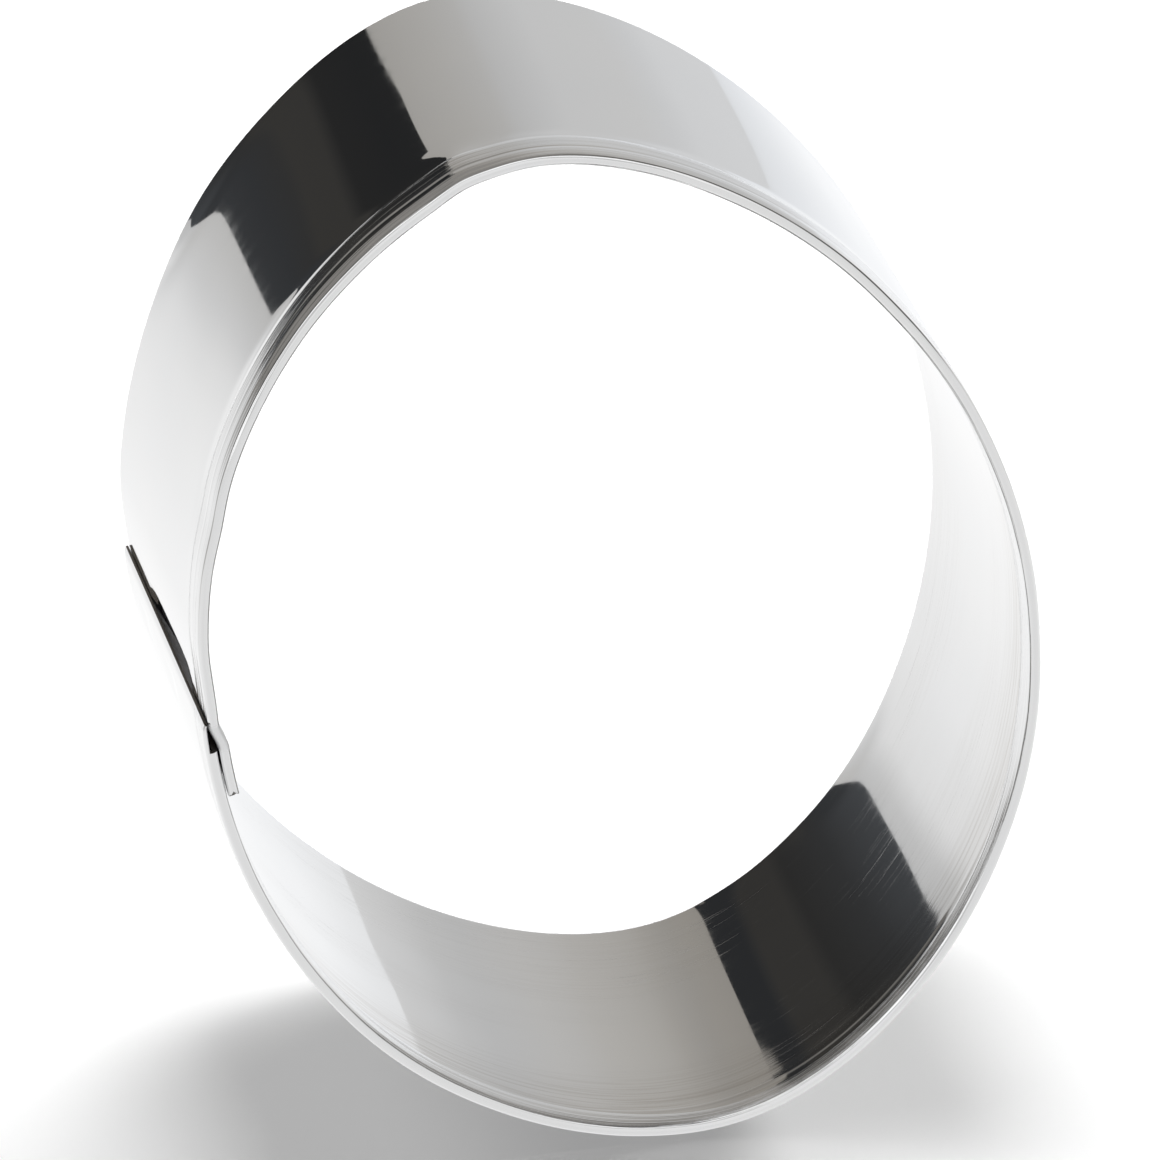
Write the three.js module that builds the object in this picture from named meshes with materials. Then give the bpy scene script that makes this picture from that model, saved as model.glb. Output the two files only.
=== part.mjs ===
// Egg cookie cutter: one strip of thin stainless sheet, hemmed along one long side, bent round to an egg
// and lapped at its ends, where two spot welds hold it. The strip's bare side is the cutting edge.
// Millimetres, +Z up. The cutter lies on its cutting edge, with the hem on top and the egg's long axis along Y.
import * as THREE from "three";

// Egg outline, measured over the outside of the band
const LENGTH = 70;
const BREADTH = 53;
// How much nearer to a point the +Y end is than the -Y end
const POINTEDNESS = 0.15;
// How much the outline is drawn in between its four extremes, at the hem and at the cutting edge
const HEM_FLATTENING = 0.27;
const EDGE_FLATTENING = 0.33;
// The bare cutting edge is less stiff than the hem and springs a little to one side
const EDGE_SWAY = 0.23;

// Band
const HEIGHT = 25;
const SHEET = 0.3;

// Hem: the top of the strip is folded inwards and pressed down, so no raw edge faces the hand
const HEM_DEPTH = 2.8;
const HEM_GAP = 0.1;

// Lap: the tucked end steps inwards over a joggle and runs on inside the covering end
const COVER_END_ANGLE = 277.5;
const LAP = 5.4;
const JOGGLE_RUN = 6;
const LAP_GAP_EDGE = 0.15;
const LAP_GAP_HEM = 0.08;
// The covering end's hem is cut back, so that its corner clears the tucked hem's joggle
const HEM_CUT_BACK = 1.9;
// The tucked end's corner at the hem is rounded off
const TUCK_CORNER = 0.6;
// Closing the lap draws the hemmed side in over some way to both sides of the seam
const SEAM_DRAW = 0.8;
const SEAM_SPREAD = 30;

// Spot welds between the lapped ends
const WELD_DIAMETER = 2.6;
const WELD_ABOVE_EDGE = 5.5;
const WELD_PITCH = 8.5;
const WELD_CLEARANCE = 0.04;

// Fineness of the facets
const TURN_STEP_DEG = 2.5;
const FOLD_STEPS = 10;
const GAP_STEPS = 4;
const WELD_STEPS = 28;

const HEM_THICKNESS = 2 * SHEET + HEM_GAP;

// Outline as a support function of the direction it faces: angle 0 faces +Y, 90 degrees faces +X.
// The mean of length and breadth gives a circle, their difference an oval, and the higher terms the egg.
// share is 0 at the cutting edge and 1 at the hem.
function outline(angle, share) {
  const round = (LENGTH + BREADTH) / 4;
  const oval = (LENGTH - BREADTH) / 4;
  const flat = EDGE_FLATTENING + (HEM_FLATTENING - EDGE_FLATTENING) * share;
  const sway = EDGE_SWAY * (1 - share);
  const reach = round - flat
    + oval * Math.cos(2 * angle)
    + POINTEDNESS * Math.cos(3 * angle)
    + flat * Math.cos(4 * angle)
    + sway * Math.sin(3 * angle);
  const slide = -2 * oval * Math.sin(2 * angle)
    - 3 * POINTEDNESS * Math.sin(3 * angle)
    - 4 * flat * Math.sin(4 * angle)
    + 3 * sway * Math.cos(3 * angle);
  return { reach, slide };
}

// Length of the outline at mid-height from angle 0, in closed form
function arcLength(angle) {
  const flat = (EDGE_FLATTENING + HEM_FLATTENING) / 2;
  const sway = EDGE_SWAY / 2;
  const round = (LENGTH + BREADTH) / 4 - flat;
  const oval = (LENGTH - BREADTH) / 4;
  return round * angle
    - (3 / 2) * oval * Math.sin(2 * angle)
    - (8 / 3) * POINTEDNESS * Math.sin(3 * angle)
    - (15 / 4) * flat * Math.sin(4 * angle)
    + (8 / 3) * sway * (Math.cos(3 * angle) - 1);
}

// Angle that lies a given way along the outline from another angle
function angleAlong(from, way) {
  const target = arcLength(from) + way;
  let low = from - Math.PI;
  let high = from + Math.PI;
  for (let i = 0; i < 60; i += 1) {
    const middle = (low + high) / 2;
    if (arcLength(middle) < target) low = middle;
    else high = middle;
  }
  return (low + high) / 2;
}

// The strip runs from its tucked end, up the left side, over the top and round to its covering end
const coverEnd = THREE.MathUtils.degToRad(COVER_END_ANGLE);
const tuckEnd = angleAlong(coverEnd, -LAP);
const joggleStart = angleAlong(coverEnd, JOGGLE_RUN);
const fullTurn = 2 * Math.PI;

// How far the tucked end lies inside the outline: one sheet at the cutting edge, a whole hem at the top
function tuck(angle, z) {
  const run = THREE.MathUtils.smoothstep(joggleStart - angle, 0, joggleStart - coverEnd);
  const atEdge = SHEET + LAP_GAP_EDGE;
  const atHem = HEM_THICKNESS + LAP_GAP_HEM;
  return run * (atEdge + (atHem - atEdge) * z / (HEIGHT - HEM_DEPTH));
}

// How far both ends are drawn in near the seam: nothing at the cutting edge, most at the hem
function seamDraw(angle, z) {
  const fromStart = Math.abs(arcLength(angle) - arcLength(coverEnd));
  const fromEnd = Math.abs(arcLength(angle) - arcLength(coverEnd + fullTurn));
  const near = 1 - THREE.MathUtils.smoothstep(Math.min(fromStart, fromEnd), 0, SEAM_SPREAD);
  return SEAM_DRAW * near * z / HEIGHT;
}

// Point of the band: offset is measured outwards from the outside face
function bandPoint(angle, offset, z) {
  const { reach, slide } = outline(angle, z / HEIGHT);
  const out = reach + offset - seamDraw(angle, z) - tuck(angle, z);
  const sin = Math.sin(angle);
  const cos = Math.cos(angle);
  return new THREE.Vector3(out * sin + slide * cos, out * cos - slide * sin, z);
}

// Section of the hemmed sheet, as (offset, height), counter-clockwise from the foot of the outside face
function hemSection() {
  const points = [];
  const outer = HEM_THICKNESS / 2;
  const inner = HEM_GAP / 2;
  const centre = HEIGHT - outer;
  points.push(new THREE.Vector2(0, 0));
  points.push(new THREE.Vector2(0, HEIGHT - HEM_DEPTH));
  for (let i = 0; i <= FOLD_STEPS; i += 1) {
    const a = Math.PI * i / FOLD_STEPS;
    points.push(new THREE.Vector2(outer * (Math.cos(a) - 1), centre + outer * Math.sin(a)));
  }
  points.push(new THREE.Vector2(-HEM_THICKNESS, HEIGHT - HEM_DEPTH));
  points.push(new THREE.Vector2(SHEET - HEM_THICKNESS, HEIGHT - HEM_DEPTH));
  for (let i = 0; i <= GAP_STEPS; i += 1) {
    const a = Math.PI * (1 - i / GAP_STEPS);
    points.push(new THREE.Vector2(inner * Math.cos(a) - outer, centre + inner * Math.sin(a)));
  }
  points.push(new THREE.Vector2(-SHEET, 0));
  return points;
}

// How much the rounded corner takes off the tucked end at a height
function cornerCut(z) {
  const above = THREE.MathUtils.clamp(z - (HEIGHT - TUCK_CORNER), 0, TUCK_CORNER);
  return TUCK_CORNER - Math.sqrt(TUCK_CORNER ** 2 - above ** 2);
}

// Triangles of a flat piece of the section, all turning the same way as the section does
function fill(section, picked) {
  const contour = picked.map((i) => section[i].clone());
  const triangles = THREE.ShapeUtils.triangulateShape(contour, []);
  return triangles.map(([a, b, c]) => {
    const ab = contour[b].clone().sub(contour[a]);
    const ac = contour[c].clone().sub(contour[a]);
    return ab.cross(ac) > 0 ? [picked[a], picked[b], picked[c]] : [picked[a], picked[c], picked[b]];
  });
}

function solid(points, faces) {
  const geometry = new THREE.BufferGeometry();
  const position = points.flatMap((p) => [p.x, p.y, p.z]);
  geometry.setAttribute("position", new THREE.Float32BufferAttribute(position, 3));
  geometry.setIndex(faces.flat());
  geometry.computeVertexNormals();
  return geometry;
}

// The whole strip as one loft: hemmed from the tucked end to the cut-back, then a plain tab to the covering end
function bandGeometry() {
  const section = hemSection();
  const count = section.length;
  const hemEnd = angleAlong(coverEnd, -HEM_CUT_BACK) + fullTurn;
  const lastEnd = coverEnd + fullTurn;
  const turnStep = THREE.MathUtils.degToRad(TURN_STEP_DEG);
  const hemSteps = Math.ceil((hemEnd - tuckEnd) / turnStep);
  const tabSteps = Math.ceil((lastEnd - hemEnd) / turnStep);
  const stations = [];
  for (let i = 0; i <= hemSteps; i += 1) {
    stations.push(tuckEnd + (hemEnd - tuckEnd) * i / hemSteps);
  }
  for (let i = 1; i <= tabSteps; i += 1) {
    stations.push(hemEnd + (lastEnd - hemEnd) * i / tabSteps);
  }

  const all = section.map((_, i) => i);
  // On the tab the fold stops a third of the way over and the flange is gone
  const foldStop = 2 + Math.round(FOLD_STEPS / 3);
  const wallTop = count - 2;
  const tab = all.filter((i) => i <= foldStop || i >= wallTop);
  const cutAway = all.filter((i) => i >= foldStop && i <= wallTop);

  const points = [];
  const index = stations.map((angle, i) => {
    const row = new Array(count).fill(-1);
    const kept = i <= hemSteps ? all : tab;
    for (const j of kept) {
      row[j] = points.length;
      const z = section[j].y;
      const from = i === 0 ? angleAlong(angle, cornerCut(z)) : angle;
      points.push(bandPoint(from, section[j].x, z));
    }
    return row;
  });

  const faces = [];
  for (let i = 0; i + 1 < stations.length; i += 1) {
    const loop = i < hemSteps ? all : tab;
    loop.forEach((j, k) => {
      const next = loop[(k + 1) % loop.length];
      faces.push([index[i][j], index[i][next], index[i + 1][next]]);
      faces.push([index[i][j], index[i + 1][next], index[i + 1][j]]);
    });
  }
  const last = stations.length - 1;
  fill(section, all).forEach(([a, b, c]) => faces.push([index[0][a], index[0][c], index[0][b]]));
  fill(section, cutAway).forEach((t) => faces.push(t.map((j) => index[hemSteps][j])));
  fill(section, tab).forEach((t) => faces.push(t.map((j) => index[last][j])));
  return solid(points, faces);
}

// Spot weld: a round nugget that fills the gap between the tucked end's outside and the covering end's inside
function weldGeometry(height) {
  const radius = WELD_DIAMETER / 2;
  const points = [];
  const put = (way, z) => {
    const angle = angleAlong(coverEnd, way - LAP / 2);
    const cover = bandPoint(angle + fullTurn, -SHEET - WELD_CLEARANCE, z);
    const tucked = bandPoint(angle, WELD_CLEARANCE, z);
    points.push(cover, tucked);
  };
  put(0, height);
  for (let i = 0; i < WELD_STEPS; i += 1) {
    const a = fullTurn * i / WELD_STEPS;
    put(radius * Math.cos(a), height + radius * Math.sin(a));
  }
  const faces = [];
  for (let i = 0; i < WELD_STEPS; i += 1) {
    const here = 2 + 2 * i;
    const next = 2 + 2 * ((i + 1) % WELD_STEPS);
    faces.push([0, next, here]);
    faces.push([1, here + 1, next + 1]);
    faces.push([here, next, next + 1]);
    faces.push([here, next + 1, here + 1]);
  }
  return solid(points, faces);
}

const polished = new THREE.MeshStandardMaterial({ color: 0xcfd0d1, metalness: 1, roughness: 0.16 });
const welded = new THREE.MeshStandardMaterial({ color: 0x9b9894, metalness: 1, roughness: 0.5 });

const cutter = new THREE.Group();
cutter.name = "egg_cookie_cutter";

function add(name, geometry, material) {
  const mesh = new THREE.Mesh(geometry, material);
  mesh.name = name;
  cutter.add(mesh);
}

add("cutter_band", bandGeometry(), polished);
add("spot_weld_edge_side", weldGeometry(WELD_ABOVE_EDGE), welded);
add("spot_weld_hem_side", weldGeometry(WELD_ABOVE_EDGE + WELD_PITCH), welded);

// The origin lies under the middle of the cutter's box
const box = new THREE.Box3().setFromObject(cutter);
const middle = box.getCenter(new THREE.Vector3());
cutter.position.set(-middle.x, -middle.y, -box.min.z);

export default cutter;
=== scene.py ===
import math

import bpy
import numpy as np
from mathutils import Matrix, Vector


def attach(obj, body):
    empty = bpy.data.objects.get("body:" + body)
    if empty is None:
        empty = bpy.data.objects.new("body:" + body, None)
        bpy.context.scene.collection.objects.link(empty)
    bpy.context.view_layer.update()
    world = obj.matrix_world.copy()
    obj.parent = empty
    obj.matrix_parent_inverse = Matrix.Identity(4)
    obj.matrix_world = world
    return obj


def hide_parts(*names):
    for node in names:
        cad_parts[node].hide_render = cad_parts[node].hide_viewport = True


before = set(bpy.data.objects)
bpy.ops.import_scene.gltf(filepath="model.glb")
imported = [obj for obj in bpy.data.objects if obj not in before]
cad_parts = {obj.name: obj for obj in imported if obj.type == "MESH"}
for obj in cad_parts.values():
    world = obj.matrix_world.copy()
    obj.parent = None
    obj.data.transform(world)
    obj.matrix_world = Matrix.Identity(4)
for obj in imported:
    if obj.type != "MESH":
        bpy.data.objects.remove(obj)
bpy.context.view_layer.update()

# The cutter's finished skin, its steel, and a small white studio round it. Sizes are in millimetres unless a
# comment says otherwise, and meshes are made in metres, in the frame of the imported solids.
MM = 0.001
TURN = 2 * math.pi

# Egg outline and band, as in the solids
LENGTH = 70.0
BREADTH = 53.0
HEIGHT = 25.0
POINTEDNESS = 0.15
HEM_FLATTENING = 0.27
EDGE_FLATTENING = 0.33
EDGE_SWAY = 0.23
SHEET = 0.3
HEM_DEPTH = 2.8
HEM_GAP = 0.1
HEM_THICKNESS = 2 * SHEET + HEM_GAP
COVER_END = math.radians(277.5)
LAP = 5.4
JOGGLE_RUN = 6.0
HEM_CUT_BACK = 1.9
TUCK_CORNER = 0.6
SEAM_DRAW = 0.8
SEAM_SPREAD = 30.0
WELD_DIAMETER = 2.6
WELD_HEIGHTS = (5.5, 14.0)

# Mesh of the skin: steps along the strip and in measuring it, rows up the wall, and steps round the sheet's
# edges and the fold
STATION_STEP = 0.3
ARC_STEPS = 20000
WALL_ROWS = [0.12, 0.3, 0.6, 1.0, 1.5, 2.0, 2.5, 3.0, 4.0, 5.0, 6.0, 7.5, 9, 10.5, 12, 13.5, 14.5, 15.0,
             15.5, 16.0, 16.6, 17.4, 18.2, 18.7, 19.2, 19.8, 20.3, 20.7, 21.1, 21.4, 21.7, 21.9, 22.0, 22.1,
             22.2, 22.3]
HEM_ROWS = 9
EDGE_STEPS = 3
FOLD_STEPS = 20
FOLD_INSIDE_STEPS = 6
FLANGE_STEPS = 12
# On the tab past the hem's cut-back the fold stops a third of the way over
TAB_FOLD_STEPS = 7

# Lap, as the skin has it: gaps, the height where the hem's step starts, and a buckle under the hem, with the
# places past the covering end where it grows and fades. The welds' dimples have a flat floor.
LAP_GAP = 0.04
LAP_GAP_HEM = 0.08
STEP_FOOT = 20.6
BUCKLE = 0.8
BUCKLE_FOOT = 8.0
BUCKLE_PEAK = 17.3
BUCKLE_TOP = 20.0
BUCKLE_GROWS = (-2.4, -0.4)
BUCKLE_FADES = (-0.2, 1.8)
WELD_DIMPLE = 0.035
DIMPLE_FLAT = 0.55

# Cut edges: their rounding, the bevel of the tucked end by its first stations, and the covering end's chamfer
EDGE_ROUND = 0.05
BEVEL_STATIONS = (0.03, 0.1)
BEVEL_DEPTHS = (0.09, 0.03)
CORNER_STATIONS = 6
END_CHAMFER = 0.14
CHAMFER_RUN = 0.5

# Away from the lap the hem is a soft fold that leans in, with its free edge standing a little off the wall
CREST_RADIUS = 0.38
HEM_LEAN = math.radians(14)
FLANGE_TOP = math.radians(24)
FLANGE_FOOT = math.radians(1.5)
FLANGE_EASE = 0.7
FLANGE_END = 23.8
CREASE_HEIGHT = 22.1
# How far the soft fold stands open along the strip: place past the covering end, share
OPENING = [(0, 0), (4, 0), (11, 0.5), (19, 0.9), (26, 1), (39, 1), (46, 0.4), (53, 0.4), (58, 0.6), (65, 0.5),
           (74, 0.35), (103, 0.4), (113, 1), (138, 1), (146, 0.7), (176, 0.7), (184, 0.3), (190, 0), (200, 0)]

# Small departures from the plain outline. A groove runs under the hem, and the wall flares out a trace below
# it. FLARE_GROWS and FLARE_FADES are places past the covering end.
GROOVE_DEPTH = 0.012
GROOVE_WIDTH = 0.16
FLARE = 0.07
FLARE_FOOT = 21.0
FLARE_EASE = 0.12
FLARE_GROWS = (4, 18)
FLARE_FADES = (72, 92)
# A pinch in the hem
PINCH_ANGLE = math.radians(297)
PINCH_DEPTH = 0.16
PINCH_RUN = 2.2
PINCH_HEIGHTS = (20.5, 23.8)
# A stretch where the wall bulges under the hem: middle and width in degrees, depth, its rise and its fall
BULGE_ANGLE = 350
BULGE_WIDTH = 7
BULGE_DEPTH = 0.24
BULGE_FOOT = 19.7
BULGE_EASE = 0.15
BULGE_FALL = 0.1
# The bare edge curls out or in by a trace: middle in degrees, width in degrees, outward depth, and height
CURLS = [(314, 8.5, 0.20, 4.1), (134, 10, 0.13, 4.5), (162, 6, -0.05, 2.2)]
# Faint waves in the wall: radians for each millimetre along and up, and at the start, with a size in front
# where it isn't 1. They and the curls stop short of the lap.
WAVE_DEPTH = 0.006
LONG_WAVE = (0.23, 0.11, 0.7)
LONG_WAVE_SWELL = (0.19, 0.4)
SHORT_WAVES = [(0.7, 0.41, -0.17, 2.1), (0.4, 0.87, 0.31, 4.0)]
FREE_OF_LAP = (4, 16)
# The rim wanders a little off the plain outline: place past the covering end, outwards. The corners of that
# line are rounded off, and the wander dies away down the wall by a power of the height.
RIM_SHIFT = [(0, 0), (3, -0.08), (8.3, 0.12), (13.6, 0.22), (18.4, 0.25), (24.4, 0.15), (28.5, 0.06),
             (32.5, -0.02), (36.5, -0.06), (40, -0.02), (42.5, 0.15), (44.5, 0.29), (47, 0.35), (52.6, 0.3),
             (60.5, 0.25), (67, 0.16), (71.5, 0), (98, 0), (104.5, 0.13), (109, 0.26), (113, 0.33),
             (118, 0.36), (126, 0.3), (134, 0.22), (139, 0.1), (143.6, -0.03), (152.4, 0.06), (161, 0.16),
             (169.6, 0.05), (187, 0.03), (193, 0)]
RIM_POWER = 4
RIM_STEP = 0.1
RIM_MARGIN = 8
RIM_ROUND_STEPS = 91
RIM_ROUND_REACH = 3

# The skin's texture layer holds places along and over the strip, with its cut ends set apart
UV_PER_MM = 0.01
CUT_END_SHIFT = 200

# Number of the colour among a mix node's outputs
MIXED_COLOUR = 2
# Finish of the steel: roughness, colour, and how far the rubbed patches take streaks and soil
MIRROR_ROUGH = (0.03, 0.06)
STREAKY_ROUGH = (0.06, 0.18)
SCRATCH_ROUGH = 0.40
LAPPED_ROUGH = 0.6
CUT_ROUGH = 0.45
COOL_STEEL = (0.83, 0.835, 0.845, 1)
WARM_STEEL = (0.87, 0.868, 0.862, 1)
# Darker, warmer steel: painted shade on the inside wall under the hem's free edge, and soil in the rubbed
# patches
SHADE_AND_SOIL_STEEL = (0.67, 0.655, 0.635, 1)
CUT_STEEL = (0.22, 0.20, 0.18, 1)
RUBBED_STREAKS = 0.2
RUBBED_SOIL = 0.15
# Height of the rolling lines in metres, and their share on each part of the strip
LINE_HEIGHT = 0.00001
HEM_RELIEF = 1.3
BY_HEM_RELIEF = 0.25
RUBBED_RELIEF = 0.03
PLAIN_RELIEF = 0.015
HEM_LINE_RELIEF = 7.0
# Finish of the welds
WELD_DARK = (0.44, 0.42, 0.39, 1)
WELD_PALE = (0.66, 0.65, 0.63, 1)
WELD_ROUGH = (0.4, 0.65)
WELD_GRAINS_PER_METRE = 2600.0
WELD_GRAIN_HEIGHT = 0.00002


def smooth(x, low, high):
    t = np.clip((x - low) / (high - low), 0, 1)
    return t * t * (3 - 2 * t)


def arc(angle):
    """Length of the outline at mid-height up to an angle."""
    flat = (EDGE_FLATTENING + HEM_FLATTENING) / 2
    sway = EDGE_SWAY / 2
    around = (LENGTH + BREADTH) / 4 - flat
    oval = (LENGTH - BREADTH) / 4
    return (around * angle - 1.5 * oval * np.sin(2 * angle) - 8 / 3 * POINTEDNESS * np.sin(3 * angle)
            - 15 / 4 * flat * np.sin(4 * angle) + 8 / 3 * sway * (np.cos(3 * angle) - 1))


START = arc(COVER_END)
END = arc(COVER_END + TURN)
ARC_ANGLES = np.linspace(COVER_END - 1, COVER_END + TURN + 1, ARC_STEPS + 1)
ARC_LENGTHS = arc(ARC_ANGLES)

RIM_WAYS = np.arange(START - RIM_MARGIN, END + RIM_MARGIN, RIM_STEP)
RIM_ROUND = np.exp(-np.linspace(-RIM_ROUND_REACH, RIM_ROUND_REACH, RIM_ROUND_STEPS) ** 2)
RIM_OUT = np.convolve(np.interp(RIM_WAYS - START, *zip(*RIM_SHIFT)), RIM_ROUND / RIM_ROUND.sum(), "same")


def angle_at(way):
    return np.interp(way, ARC_LENGTHS, ARC_ANGLES)


def band_point(way, offset, z, finish=1):
    """Points of the band: way along the strip, offset outwards from the outside face, and height."""
    angle = angle_at(way)
    share = z / HEIGHT
    around = (LENGTH + BREADTH) / 4
    oval = (LENGTH - BREADTH) / 4
    flat = EDGE_FLATTENING + (HEM_FLATTENING - EDGE_FLATTENING) * share
    sway = EDGE_SWAY * (1 - share)
    reach = (around - flat + oval * np.cos(2 * angle) + POINTEDNESS * np.cos(3 * angle)
             + flat * np.cos(4 * angle) + sway * np.sin(3 * angle))
    slide = (-2 * oval * np.sin(2 * angle) - 3 * POINTEDNESS * np.sin(3 * angle)
             - 4 * flat * np.sin(4 * angle) + 3 * sway * np.cos(3 * angle))
    near_seam = 1 - smooth(np.minimum(np.abs(way - START), np.abs(way - END)), 0, SEAM_SPREAD)
    out = reach + offset - SEAM_DRAW * near_seam * share - tuck(way, z) + finish * relief(way, angle, z)
    sin, cos = np.sin(angle), np.cos(angle)
    return np.stack([out * sin + slide * cos, out * cos - slide * sin, z + 0 * way], -1)


def tuck(way, z):
    """How far the tucked end lies inside the outline: a sheet, a whole hem at the top, and a buckle."""
    past = way - START
    run = 1 - smooth(past, 0, JOGGLE_RUN)
    step = (1 - smooth(past, -HEM_CUT_BACK, 0)) * smooth(z, STEP_FOOT, CREASE_HEIGHT)
    rise = (z - BUCKLE_FOOT) / (BUCKLE_PEAK - BUCKLE_FOOT)
    fall = (BUCKLE_TOP - z) / (BUCKLE_TOP - BUCKLE_PEAK)
    buckle = BUCKLE * np.clip(np.minimum(rise, fall), 0, 1)
    buckle = buckle * smooth(past, *BUCKLE_GROWS) * (1 - smooth(past, *BUCKLE_FADES))
    return run * (SHEET + LAP_GAP) + step * (HEM_THICKNESS + LAP_GAP_HEM - SHEET - LAP_GAP) + buckle


def round_about(angle, middle, width):
    """1 at a middle direction in degrees, falling to nothing on both sides of it."""
    off = (np.degrees(angle) - middle + 180) % 360 - 180
    return np.exp(-(off / width) ** 2)


def rise_to_crease(z, foot, ease):
    """A slope that starts softly at a height and ends at the crease under the hem, at about 1."""
    up = np.clip(z - foot, 0, CREASE_HEIGHT - foot)
    return up * up / (up + ease) / (CREASE_HEIGHT - foot)


def faint_waves(way, z):
    along, up, start = LONG_WAVE
    swell, swell_start = LONG_WAVE_SWELL
    wave = np.sin(along * way + up * z + start) * np.sin(swell * z + swell_start)
    for size, along, up, start in SHORT_WAVES:
        wave = wave + size * np.sin(along * way + up * z + start)
    return WAVE_DEPTH * wave


def edge_curls(angle, z):
    return sum(depth * round_about(angle, middle, width) * np.clip(1 - z / height, 0, 1) ** 3
               for middle, width, depth, height in CURLS)


def weld_dimples(way, z):
    """The welds press into both faces of the lap."""
    dimple = 0
    for end, sign in ((START, 1), (END, -1)):
        for height in WELD_HEIGHTS:
            far = np.hypot(way - (end - LAP / 2), z - height) / (WELD_DIAMETER / 2)
            dimple = dimple + sign * WELD_DIMPLE * (1 - smooth(far, DIMPLE_FLAT, 1.0))
    return dimple


def relief(way, angle, z):
    """Small departures of a pressed band from the plain outline, outwards."""
    past = way - START
    free = smooth(np.minimum(past, END - way), *FREE_OF_LAP)
    pinch = PINCH_DEPTH * np.exp(-((way - arc(PINCH_ANGLE)) / PINCH_RUN) ** 2) * smooth(z, *PINCH_HEIGHTS)
    groove = GROOVE_DEPTH * np.exp(-((z - CREASE_HEIGHT) / GROOVE_WIDTH) ** 2)
    bulge = rise_to_crease(z, BULGE_FOOT, BULGE_EASE) - BULGE_FALL * np.maximum(z - CREASE_HEIGHT, 0)
    bulge = BULGE_DEPTH * bulge * round_about(angle, BULGE_ANGLE, BULGE_WIDTH)
    flare = FLARE * rise_to_crease(z, FLARE_FOOT, FLARE_EASE)
    flare = flare * smooth(past, *FLARE_GROWS) * (1 - smooth(past, *FLARE_FADES))
    rim = np.interp(way, RIM_WAYS, RIM_OUT) * (z / HEIGHT) ** RIM_POWER
    curved = free * (faint_waves(way, z) + edge_curls(angle, z))
    return curved + flare + bulge + rim - pinch - groove + weld_dimples(way, z)


def steps(start, end, count):
    return [start + (end - start) * i / count for i in range(count + 1)]


def rounding(offset, height, radius, angles):
    return [(offset + radius * math.cos(a), height + radius * math.sin(a)) for a in angles]


def section(crest, lean, flange_top, flange_foot, free_edge):
    """The hemmed sheet cut across, as (offset, height) counter-clockwise from the foot of the outside face,
    with the numbers of the fold's first point and of the inner wall's first point."""
    fold_start = HEIGHT - crest + crest * math.sin(lean)
    bend = math.tan(lean) / (3 * (fold_start - CREASE_HEIGHT) ** 2)

    def wall(z):
        return -bend * max(0, z - CREASE_HEIGHT) ** 3

    rows = WALL_ROWS + steps(WALL_ROWS[-1], fold_start, HEM_ROWS)[1:-1]
    points = rounding(-EDGE_ROUND, EDGE_ROUND, EDGE_ROUND, steps(-TURN / 4, 0, EDGE_STEPS))
    points += [(wall(z), z) for z in rows]
    first_fold = len(points)
    middle = wall(fold_start) - crest * math.cos(lean)
    level = HEIGHT - crest
    points += rounding(middle, level, crest, steps(lean, TURN / 2 - flange_top, FOLD_STEPS))

    from_offset, from_height = points[-1]
    drop = from_height - free_edge - EDGE_ROUND
    ease = (math.tan(flange_top) - math.tan(flange_foot)) * FLANGE_EASE / 3

    def flange_point(down):
        eased = ease * (1 - max(0, 1 - down / FLANGE_EASE) ** 3)
        return from_offset - math.tan(flange_foot) * down - eased, from_height - down

    flange = [flange_point(down * down / drop) for down in steps(0, drop, FLANGE_STEPS)]
    points += flange[1:]
    corner = flange[-1][0]
    edge_turn = steps(TURN / 2, 0.75 * TURN, EDGE_STEPS)
    points += rounding(corner + EDGE_ROUND, free_edge + EDGE_ROUND, EDGE_ROUND, edge_turn)[1:]
    points += [(corner + SHEET, free_edge)]
    points += [(offset + SHEET, z) for offset, z in reversed(flange[1:-1:2])]
    points += rounding(middle, level, crest - SHEET, steps(TURN / 2 - flange_top, lean, FOLD_INSIDE_STEPS))
    inner_wall = len(points) - 1
    points += [(wall(z) - SHEET, z) for z in reversed(rows) if z < level]
    points += rounding(EDGE_ROUND - SHEET, EDGE_ROUND, EDGE_ROUND, edge_turn)
    return np.array(points), first_fold, inner_wall


def mesh_object(name, points, faces, material, smooth_faces=True):
    mesh = bpy.data.meshes.new(name)
    mesh.from_pydata([tuple(p) for p in points], [], [tuple(f) for f in faces])
    mesh.update()
    mesh.polygons.foreach_set("use_smooth", [smooth_faces] * len(mesh.polygons))
    obj = bpy.data.objects.new(name, mesh)
    bpy.context.scene.collection.objects.link(obj)
    obj.data.materials.append(material)
    return obj


def stations():
    """Places along the strip where it is cut across, and the number of the last that has the whole hem."""
    hem_end = END - HEM_CUT_BACK
    hem_steps = math.ceil((hem_end - (START - LAP)) / STATION_STEP)
    tab_steps = math.ceil(HEM_CUT_BACK / STATION_STEP)
    ways = list(np.linspace(START - LAP, hem_end, hem_steps + 1))
    ways += list(np.linspace(hem_end, END, tab_steps + 1))[1:]
    ways[1:1] = [ways[0] + far for far in BEVEL_STATIONS]
    return ways, hem_steps + len(BEVEL_STATIONS)


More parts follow.
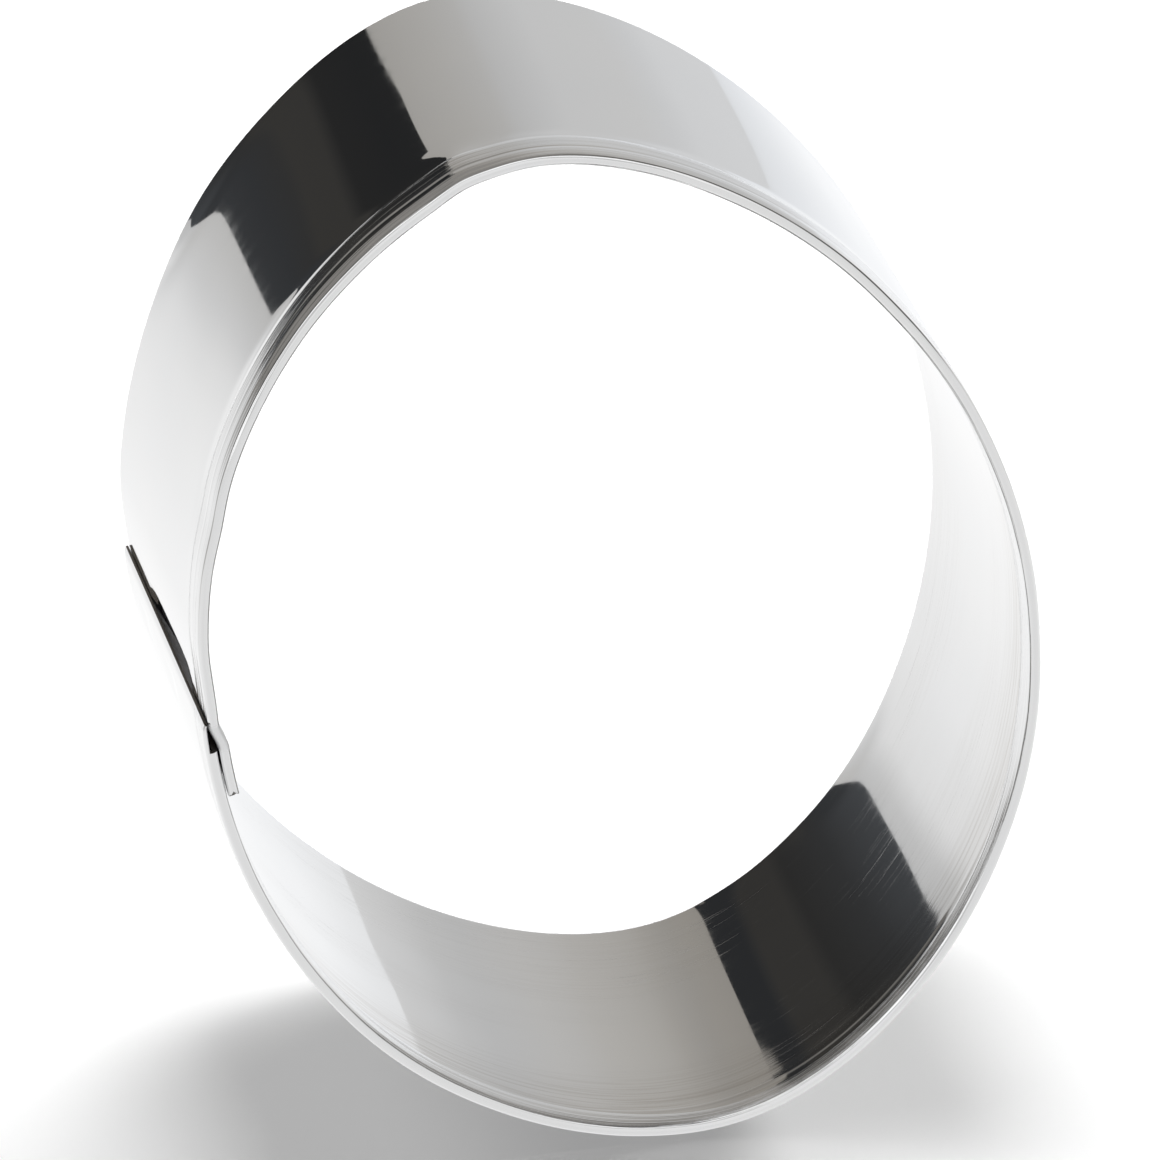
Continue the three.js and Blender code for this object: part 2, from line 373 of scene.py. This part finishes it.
def at_station(number, way, shut, soft):
    """A station's points: way along the strip, offset and height, between the shut and the soft section."""
    opened = np.interp(way - START, *zip(*OPENING))
    offset, z = (shut + opened * (soft - shut)).T
    here = np.full(len(z), way)
    if number < CORNER_STATIONS:
        above = np.clip(z - (HEIGHT - TUCK_CORNER), 0, TUCK_CORNER)
        cut_off = TUCK_CORNER - np.sqrt(TUCK_CORNER ** 2 - above ** 2)
        here = here + cut_off * (1 - number / CORNER_STATIONS)
    if number < len(BEVEL_DEPTHS):
        depth = BEVEL_DEPTHS[number]
        middle = np.where(z > HEIGHT - HEM_DEPTH, -HEM_THICKNESS / 2, -SHEET / 2)
        offset = offset + np.clip(middle - offset, -depth, depth)
    to_end = 1 - smooth(END - way, 0, CHAMFER_RUN)
    offset = offset - END_CHAMFER * to_end * to_end * (offset > -SHEET / 2)
    return here, offset, z


def strip_layer(mesh, strip, side_count):
    """Texture layer with places along and over the strip, flat cut ends after the side faces, and sharp edges
    round them."""
    layer = mesh.uv_layers.new(name="strip")
    which = np.zeros(len(mesh.loops), int)
    mesh.loops.foreach_get("vertex_index", which)
    place = np.array(strip)[which] * UV_PER_MM
    ends = set()
    for face in mesh.polygons[side_count:]:
        face.use_smooth = False
        loops = face.loop_indices
        place[loops.start:loops.stop, 1] += CUT_END_SHIFT * UV_PER_MM
        ends.update(face.edge_keys)
    layer.data.foreach_set("uv", place.astype(np.float32).ravel())
    sharp = mesh.attributes.new("sharp_edge", "BOOLEAN", "EDGE")
    sharp.data.foreach_set("value", [edge.key in ends for edge in mesh.edges])


def make_band(material):
    shut, first_fold, wall_top = section(HEM_THICKNESS / 2, 0, 0, 0, HEIGHT - HEM_DEPTH)
    soft = section(CREST_RADIUS, HEM_LEAN, FLANGE_TOP, FLANGE_FOOT, FLANGE_END)[0]
    over_strip = np.concatenate([[0], np.cumsum(np.hypot(*np.diff(shut, axis=0).T))])
    ways, hem_last = stations()
    fold_stop = first_fold + TAB_FOLD_STEPS
    whole = list(range(len(shut)))
    tab = [j for j in whole if j <= fold_stop or j >= wall_top]

    points, strip = [], []
    index = np.full((len(ways), len(shut)), -1)
    for i, way in enumerate(ways):
        kept = whole if i <= hem_last else tab
        here, offset, z = [values[kept] for values in at_station(i, way, shut, soft)]
        index[i, kept] = range(len(points), len(points) + len(kept))
        points.extend(band_point(here, offset, z))
        strip.extend(zip(here - START + LAP, over_strip[kept]))

    faces = []
    for i in range(len(ways) - 1):
        loop = whole if i < hem_last else tab
        for j, following in zip(loop, loop[1:] + loop[:1]):
            faces.append((index[i, j], index[i, following], index[i + 1, following], index[i + 1, j]))
    side_count = len(faces)
    faces.append([index[0, j] for j in reversed(whole)])
    faces.append([index[hem_last, j] for j in whole if fold_stop <= j <= wall_top])
    faces.append([index[len(ways) - 1, j] for j in tab])

    # The plain outline's middle lies on the frame's upright axis
    plain = np.concatenate([band_point(np.array(ways), 0, z, 0) for z in (0, HEIGHT)])
    centre = (plain.min(0) + plain.max(0)) / 2
    points = (np.array(points) - [centre[0], centre[1], 0]) * MM
    skin = mesh_object("cutter_skin", points, faces, material)
    strip_layer(skin.data, strip, side_count)
    return skin


def nodes_of(material):
    """Clears a material's nodes and gives back a function that adds one, with its inputs and settings."""
    material.use_nodes = True
    tree = material.node_tree
    tree.nodes.clear()

    def add(kind, inputs=None, **settings):
        node = tree.nodes.new(kind)
        for key, value in settings.items():
            setattr(node, key, value)
        for key, value in (inputs or {}).items():
            if isinstance(value, bpy.types.NodeSocket):
                tree.links.new(value, node.inputs[key])
            else:
                node.inputs[key].default_value = value
        return node
    return add


def mix_colour(add, share, first, second):
    mixed = add("ShaderNodeMix", {"Factor": share, "A": first, "B": second}, data_type="RGBA")
    return mixed.outputs[MIXED_COLOUR]


def metal(add, tint, rough, bump):
    inputs = {"Metallic": 1.0, "Base Color": tint, "Roughness": rough, "Normal": bump.outputs["Normal"]}
    shader = add("ShaderNodeBsdfPrincipled", inputs)
    add("ShaderNodeOutputMaterial", {"Surface": shader.outputs["BSDF"]})


def steel():
    """Bright-rolled sheet: a near mirror, with fine lengthwise streaks inside and along the hem, and dull cut
    ends."""
    material = bpy.data.materials.new("stainless_strip")
    add = nodes_of(material)
    uv = add("ShaderNodeUVMap", uv_map="strip").outputs["UV"]
    split = add("ShaderNodeSeparateXYZ", {"Vector": uv})

    def ramp(value, low, high, to=(0.0, 1.0)):
        inputs = {"Value": value, "From Min": low, "From Max": high, "To Min": to[0], "To Max": to[1]}
        return add("ShaderNodeMapRange", inputs, interpolation_type="SMOOTHSTEP").outputs["Result"]

    def along(low, high):
        return ramp(split.outputs["X"], low * UV_PER_MM, high * UV_PER_MM)

    def over(low, high):
        return ramp(split.outputs["Y"], low * UV_PER_MM, high * UV_PER_MM)

    def work(kind, a, b):
        return add("ShaderNodeMath", {0: a, 1: b}, operation=kind).outputs["Value"]

    def times(a, b):
        return work("MULTIPLY", a, b)

    def either(a, b):
        return work("MAXIMUM", a, b)

    def mix(share, first, second):
        mixed = add("ShaderNodeMix", {"Factor": share, "A": first, "B": second}, data_type="FLOAT")
        return mixed.outputs["Result"]

    def noise(cells, detail, rough, shift=(0, 0)):
        """Noise with a number of cells in 100 mm along and over the strip."""
        put = add("ShaderNodeMapping", {"Vector": uv, "Scale": (*cells, 1.0), "Location": (*shift, 0)})
        inputs = {"Vector": put.outputs["Vector"], "Scale": 1.0, "Detail": detail, "Roughness": rough}
        return add("ShaderNodeTexNoise", inputs).outputs["Fac"]

    # Over the strip: outside wall, hem from 22.2, fold at 25, flange to 28.4, inside wall from 31.1
    hem = times(over(21.9, 22.4), over(30.0, 28.4))
    inside = over(28.4, 31.2)
    by_hem = times(inside, over(40, 33))
    cut_end = over(100, 110)
    # The lap's hidden outside face, before the covering end at 5.4 along the strip, and its hem under the tab
    under_tab = times(along(3.3, 3.7), over(27.5, 26.2))
    lapped = times(along(5.45, 5.1), either(over(22.4, 21.9), under_tab))
    # Rolling lines: some millimetres long, a fraction of a millimetre across
    lines = noise((8.0, 420.0), 3.0, 0.6)
    hem_lines = noise((1.5, 230.0), 2.0, 0.5, (0.7, 2.9))
    bands = noise((5.0, 90.0), 4.0, 0.55, (3.1, 7.7))
    clouds = noise((9.0, 9.0), 3.0, 0.5)
    rubbed = times(ramp(noise((3.5, 14.0), 2.0, 0.5, (1.3, 5.2)), 0.42, 0.62), inside)
    # Hair-fine dull marks, gathered in streaks
    streaks = times(ramp(noise((7.0, 330.0), 3.0, 0.6, (9.4, 1.8)), 0.44, 0.66), rubbed)
    scratches = times(ramp(noise((20.0, 2200.0), 1.0, 0.5, (2.2, 4.6)), 0.58, 0.66), streaks)
    # Roughness
    mirror = ramp(bands, 0.3, 0.8, MIRROR_ROUGH)
    streaky = ramp(times(lines, bands), 0.16, 0.42, STREAKY_ROUGH)
    rough = mix(either(either(hem, by_hem), times(rubbed, RUBBED_STREAKS)), mirror, streaky)
    rough = mix(scratches, rough, SCRATCH_ROUGH)
    rough = mix(lapped, rough, LAPPED_ROUGH)
    rough = mix(cut_end, rough, CUT_ROUGH)
    # Colour: cool bright steel, a trace warmer in cloudy patches, painted shade by the hem, dark where it was
    # cut
    # Darker, warmer along the lines: painted shade on the inside wall under the hem's free edge, soil in
    # rubbed patches
    hem_shade_and_soil = times(ramp(lines, 0.42, 0.64, (0.3, 1.0)), either(by_hem, times(rubbed, RUBBED_SOIL)))
    tint = mix_colour(add, clouds, COOL_STEEL, WARM_STEEL)
    tint = mix_colour(add, hem_shade_and_soil, tint, SHADE_AND_SOIL_STEEL)
    tint = mix_colour(add, cut_end, tint, CUT_STEEL)
    # Relief of the rolling lines: clearest on the hem, faint on the outside wall
    depth = work("ADD", times(rubbed, RUBBED_RELIEF), PLAIN_RELIEF)
    depth = work("ADD", times(by_hem, BY_HEM_RELIEF), depth)
    depth = work("ADD", times(hem, HEM_RELIEF), depth)
    height = work("ADD", times(lines, depth), times(hem_lines, times(hem, HEM_LINE_RELIEF)))
    bump = add("ShaderNodeBump", {"Height": height, "Strength": 1.0, "Distance": LINE_HEIGHT})
    metal(add, tint, rough, bump)
    return material


def weld_steel():
    """Re-melted metal of a spot weld: dull and grainy, with a mottled tint."""
    material = bpy.data.materials.new("weld_steel")
    add = nodes_of(material)
    place = add("ShaderNodeTexCoord").outputs["Object"]
    noise = add("ShaderNodeTexNoise", {"Vector": place, "Scale": WELD_GRAINS_PER_METRE, "Detail": 4.0})
    grain = noise.outputs["Fac"]
    tint = mix_colour(add, grain, WELD_DARK, WELD_PALE)
    rough = add("ShaderNodeMapRange", {"Value": grain, "To Min": WELD_ROUGH[0], "To Max": WELD_ROUGH[1]})
    bump = add("ShaderNodeBump", {"Height": grain, "Strength": 0.6, "Distance": WELD_GRAIN_HEIGHT})
    metal(add, tint, rough.outputs["Result"], bump)
    return material


# Camera, set so that the band's rims fall where the photograph has them: the picture's right, down and depth
LENS = 214.5
SENSOR = 36
CLIP_METRES = (0.01, 50)
PICTURE_RIGHT = Vector((0.95530, -0.20681, 0.21127))
PICTURE_DOWN = Vector((-0.28412, -0.83980, 0.46262))
PICTURE_AHEAD = Vector((0.08175, -0.50196, -0.86102))
CAMERA_PLACE = Vector((-35.092, 216.806, 385.189)) * MM
camera = bpy.data.objects.new("camera", bpy.data.cameras.new("camera"))
bpy.context.scene.collection.objects.link(camera)
bpy.context.scene.camera = camera
camera.data.sensor_width = SENSOR
camera.data.lens = LENS
camera.data.clip_start, camera.data.clip_end = CLIP_METRES
axes = Matrix((PICTURE_RIGHT, -PICTURE_DOWN, -PICTURE_AHEAD)).transposed().to_4x4()
camera.matrix_world = Matrix.Translation(CAMERA_PLACE) @ axes

# Pieces
band = make_band(steel())
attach(band, "root")
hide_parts("cutter_band")
dull = weld_steel()
for name in ("spot_weld_edge_side", "spot_weld_hem_side"):
    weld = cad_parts[name]
    weld.data.materials.clear()
    weld.data.materials.append(dull)

# The cutter stands on the rounder end of its outline, so the studio's up lies in the plane of the outline,
# and the floor touches the band where it reaches lowest
UP = Vector((0.211, 0.977, 0)).normalized()
BACK = Vector((0, 0, -1))
RIGHT = UP.cross(-BACK)
MIDDLE = Vector((0, 0, HEIGHT / 2 * MM))
lowest = min(Vector(v.co).dot(UP) for v in band.data.vertices)


def studio_point(across, above, behind):
    """A point of the studio in metres: to the picture's right, above the floor, and behind the cutter."""
    return UP * (lowest + above) + RIGHT * across + MIDDLE + BACK * behind


# Floor: corners in metres. From below it is clear, so that it hides nothing in other views.
FLOOR_CORNERS = [(-0.6, -0.6), (0.6, -0.6), (0.6, 0.5), (-0.6, 0.5)]
PAPER = (0.92, 0.92, 0.92, 1)
PAPER_LIFT = 0.10


def floor_material():
    material = bpy.data.materials.new("white_floor")
    add = nodes_of(material)
    facing = add("ShaderNodeNewGeometry")
    paper = add("ShaderNodeBsdfDiffuse", {"Color": PAPER})
    # To the eye the paper is a little paler than its lit colour, so that only real shade shows on it
    seen = add("ShaderNodeLightPath").outputs["Is Camera Ray"]
    pale = add("ShaderNodeMath", {0: seen, 1: PAPER_LIFT}, operation="MULTIPLY")
    lift = add("ShaderNodeEmission", {"Color": (1, 1, 1, 1), "Strength": pale.outputs["Value"]})
    top = add("ShaderNodeAddShader", {0: paper.outputs["BSDF"], 1: lift.outputs["Emission"]})
    clear = add("ShaderNodeBsdfTransparent").outputs["BSDF"]
    both = add("ShaderNodeMixShader", {0: facing.outputs["Backfacing"], 1: top.outputs["Shader"], 2: clear})
    add("ShaderNodeOutputMaterial", {"Surface": both.outputs["Shader"]})
    return material


corners = [studio_point(across, 0, behind) for across, behind in FLOOR_CORNERS]
floor = mesh_object("floor", corners, [(0, 1, 2, 3)], floor_material(), False)
floor.visible_glossy = False

# Studio that the bright steel mirrors, as a painted dome of three panels: a dark card, the wall behind, and
# the floor. A direction is given by how far it is away from the line straight behind the cutter, and by where
# it lies around that line from up to the right, both in degrees.
CARD, WALL, FLOOR = range(3)
DOME_RADIUS_METRES = 3.0
DOME_STEPS = 80
AWAY = [0.2, 8, 16, 22, 24.8, 25.2, 25.6, 25.9, 26, 27.4, 28, 29.5, 32, 33, 33.1, 33.6, 34, 34.2, 34.6, 35,
        35.2, 35.7, 36.2, 36.5, 38, 39.7, 40, 42, 44, 46, 49, 52, 54, 56, 62, 70, 76, 80, 82, 84, 86, 92, 100,
        106, 108, 110, 112, 114, 120, 126, 128, 130, 132, 145, 160, 170, 179.8]
# Edges of the panels, as (away, around): the card's left and right side, and where the wall meets the floor
CARD_LEFT = [(25.6, -95.0), (25.9, -96.4), (33, -95.6), (34.2, -94.2), (35, -93.2), (36.2, -92), (39, -92)]
CARD_RIGHT = [(24.8, -36), (25.2, -35), (26, -32.1), (33, -29), (35.2, -29.4), (35.7, -32.1), (36.5, -34)]
WALL_FOOT = [(27.4, 101.5), (28, 101), (33.1, 94.8), (34, 91.7), (36, 89)]
# Paint of each panel straight behind, as (around, level, warmth)
BEHIND = [
    [(-98, 0.045, -1.2), (-86, 0.036, -1.2), (-78, 0.034, 0), (-74, 0.038, 1), (-64, 0.037, 1),
     (-59, 0.021, 0), (-44, 0.019, -0.6), (-28, 0.02, -0.6)],
    [(-36, 0.37, 0.9), (-20, 0.41, 0.75), (-10, 0.43, 0.7), (4, 0.46, 0.5), (12, 0.48, 0.4), (20, 0.52, 0.1),
     (36, 0.58, 0), (44, 0.61, 0), (68, 0.62, 0), (76, 0.64, -0.2), (84, 0.69, -0.2), (98, 0.7, -0.2),
     (102, 0.69, -0.2)],
    [(96, 0.71, -0.3), (100, 0.74, -0.4), (103, 0.82, -0.5), (108, 0.86, -0.5), (116, 0.93, -0.4),
     (126, 1, -0.3), (180, 1.04, 0), (196, 1, 0), (212, 0.98, 0), (228, 0.92, 0), (236, 0.88, 0),
     (244, 0.8, 0), (252, 0.66, 0), (260, 0.57, 0.2), (266, 0.53, 0.3)],
]
# The same a little further out, as the inside of the band mirrors it
FURTHER = [
    [(-98, 0.07, -1.5), (-88, 0.052, -1.2), (-80, 0.036, -0.6), (-72, 0.03, 0), (-66, 0.027, 0.3),
     (-61, 0.036, 1), (-47, 0.036, 1), (-42, 0.026, -1), (-28, 0.026, -1)],
    [(-36, 0.28, 1.5), (-19, 0.31, 1.5), (-11, 0.32, 1.3), (-4, 0.34, 1.15), (4, 0.37, 1.15), (12, 0.41, 1),
     (21, 0.44, 0.9), (36, 0.48, 0.75), (44, 0.51, 0.5), (52, 0.53, 0.4), (68, 0.54, 0), (76, 0.57, 0),
     (84, 0.64, 0), (96, 0.71, 0)],
    [(88, 0.86, -0.2), (96, 0.89, -0.2), (100, 0.91, -0.2), (108, 0.96, -0.2), (116, 1, -0.2), (180, 1.05, 0),
     (196, 1.02, 0), (212, 0.99, 0), (228, 0.94, 0), (236, 0.92, 0), (244, 0.87, 0), (250, 0.84, 0),
     (254, 0.81, 0), (257, 0.73, 0), (261, 0.61, 0), (268, 0.55, 0)],
]
FURTHER_FROM = 31
# Further round, over the cutter, as (away, level, warmth): a dull ring, a dark one, the soft box, and the
# room in front
OVER = [(38, 0.09, 1), (42, 0.18, 1), (49, 0.30, 1), (56, 0.19, 1), (66, 0.15, 1), (80, 0.15, 0.5),
        (85, 1.2, 0), (108, 1.2, 0), (114, 0.6, 0), (126, 0.6, 0), (132, 0.9, 0), (180, 0.85, 0)]
# On the right the dull ring is paler and no soft box hangs
OVER_RIGHT = [(38, 0.62, 0), (50, 0.50, 0.5), (56, 0.17, 1), (80, 0.15, 0.5), (85, 0.78, 0), (180, 0.85, 0)]
TO_RIGHT = (20, 70)
# The dark ring is not even round about: its reach away, the swing of its level, and swings in a turn
RING_STARTS = (54, 62)
RING_ENDS = (80, 85)
RING_SWING = 0.55
RING_SWINGS = 2.2
RING_SHIFT = 30
# The floor, from behind to in front, and its dimmer sides: their reach around and their level and warmth
UNDER = [(36, 0.97, 0), (80, 0.93, 0), (120, 0.85, 0), (180, 0.8, 0)]
DIM_LEFT = (236, 264)
DIM_RIGHT = (97, 115)
DIM_RIGHT_SHARE = 0.5
DIM_BEHIND = (0.33, 0.5)
DIM_IN_FRONT = (0.8, 0)
IN_FRONT_FROM = 86
# Where each panel goes over from what is behind to what is further round
GOES_OVER = [(39.7, 40.0), (38, 47), (38, 54)]
# How much warmth adds to red and takes from blue
WARM_RED = 0.04
WARM_BLUE = 0.06
# Share of its light that the dome gives by way of the steel to the floor
GIVEN_TO_FLOOR = 0.5


def paint_at(stops, where):
    places, levels, warmth = zip(*stops)
    return np.array([np.interp(where, places, levels), np.interp(where, places, warmth)])


def floor_paint(around, away):
    dim = max(smooth(around, *DIM_LEFT), DIM_RIGHT_SHARE * (1 - smooth(around, *DIM_RIGHT)))
    dimmed = np.array(DIM_BEHIND if away < IN_FRONT_FROM else DIM_IN_FRONT)
    return paint_at(UNDER, away) * (1 - dim) + dimmed * dim


def room_paint(around, away):
    to_right = smooth(around, *TO_RIGHT)
    paint = paint_at(OVER, away) * (1 - to_right) + paint_at(OVER_RIGHT, away) * to_right
    ring = smooth(away, *RING_STARTS) * (1 - smooth(away, *RING_ENDS))
    paint[0] *= 1 + RING_SWING * math.cos(math.radians(RING_SWINGS * around + RING_SHIFT)) * ring
    return paint


def studio_paint(panel, around, away):
    """Level and warmth of the studio in a direction."""
    behind = paint_at((FURTHER if away > FURTHER_FROM else BEHIND)[panel], around)
    beyond = floor_paint(around, away) if panel == FLOOR else room_paint(around, away)
    return behind + (beyond - behind) * smooth(away, *GOES_OVER[panel])


def panel_sides(away):
    """Directions around of the panels' edges, from the card's left side once round."""
    left, right, foot = [np.interp(away, *zip(*edge)) for edge in (CARD_LEFT, CARD_RIGHT, WALL_FOOT)]
    return [left, right, foot, left + 360]


def glow():
    material = bpy.data.materials.new("painted_panel")
    add = nodes_of(material)
    level = add("ShaderNodeVertexColor", layer_name="level").outputs["Color"]
    # The steel throws less of it on to the floor, so that the shade stays deep where the cutter stands
    bounces = add("ShaderNodeLightPath").outputs["Diffuse Depth"]
    strength = add("ShaderNodeMapRange", {"Value": bounces, "To Min": 1.0, "To Max": GIVEN_TO_FLOOR})
    light = add("ShaderNodeEmission", {"Color": level, "Strength": strength.outputs["Result"]})
    add("ShaderNodeOutputMaterial", {"Surface": light.outputs["Emission"]})
    return material


def make_panel(number, material):
    points, colours = [], []
    for share in np.linspace(0, 1, DOME_STEPS + 1):
        for away in AWAY:
            sides = panel_sides(away)
            around = sides[number] + share * (sides[number + 1] - sides[number])
            a, b = math.radians(around), math.radians(away)
            side = RIGHT * math.sin(a) + UP * math.cos(a)
            points.append(MIDDLE + (side * math.sin(b) + BACK * math.cos(b)) * DOME_RADIUS_METRES)
            level, warm = studio_paint(number, around, away)
            colours.append((level * (1 + WARM_RED * warm), level, level * (1 - WARM_BLUE * warm), 1))
    rings = len(AWAY)
    faces = [(rings * i + j, rings * i + j + 1, rings * (i + 1) + j + 1, rings * (i + 1) + j)
             for i in range(DOME_STEPS) for j in range(rings - 1)]
    panel = mesh_object("backdrop_%d" % number, points, faces, material, False)
    paint = panel.data.color_attributes.new("level", "FLOAT_COLOR", "POINT")
    paint.data.foreach_set("color", np.array(colours, np.float32).ravel())
    panel.visible_camera = False
    panel.visible_diffuse = False


panel_paint = glow()
for number in (CARD, WALL, FLOOR):
    make_panel(number, panel_paint)

# Light: the steel mirrors the dome. The floor is lit by a soft box over the cutter, a low one on the right
# and a weak one on the left, and by the world, which is white to the eye.
WORLD_FILL = 0.25
LAMPS_AIM_METRES = 0.03


def light_world():
    world = bpy.data.worlds.new("studio")
    bpy.context.scene.world = world
    world.use_nodes = True
    tree = world.node_tree
    sky = tree.nodes["Background"]
    sky.inputs["Color"].default_value = (1, 1, 1, 1)
    path = tree.nodes.new("ShaderNodeLightPath")
    seen = path.outputs["Is Camera Ray"]
    for kind in ("Is Glossy Ray", "Is Transmission Ray"):
        either = tree.nodes.new("ShaderNodeMath")
        either.operation = "MAXIMUM"
        tree.links.new(seen, either.inputs[0])
        tree.links.new(path.outputs[kind], either.inputs[1])
        seen = either.outputs["Value"]
    strength = tree.nodes.new("ShaderNodeMapRange")
    strength.inputs["To Min"].default_value = WORLD_FILL
    tree.links.new(seen, strength.inputs["Value"])
    tree.links.new(strength.outputs["Result"], sky.inputs["Strength"])


def soft_box(name, where, metres, watts):
    data = bpy.data.lights.new(name, "AREA")
    data.shape = "DISK"
    data.size = metres
    data.energy = watts
    lamp = bpy.data.objects.new(name, data)
    bpy.context.scene.collection.objects.link(lamp)
    lamp.location = where
    lamp.rotation_euler = (studio_point(0, LAMPS_AIM_METRES, 0) - where).to_track_quat("-Z", "Y").to_euler()
    lamp.visible_camera = False
    lamp.visible_glossy = False


light_world()
soft_box("key_light", studio_point(0.02, 0.95, 0.15), metres=0.40, watts=5.0)
soft_box("side_light", studio_point(0.93, 0.49, 0.57), metres=0.65, watts=11.2)
soft_box("back_light", studio_point(-0.68, 0.75, 0.64), metres=0.65, watts=3.1)
bpy.context.scene.view_settings.view_transform = "Standard"
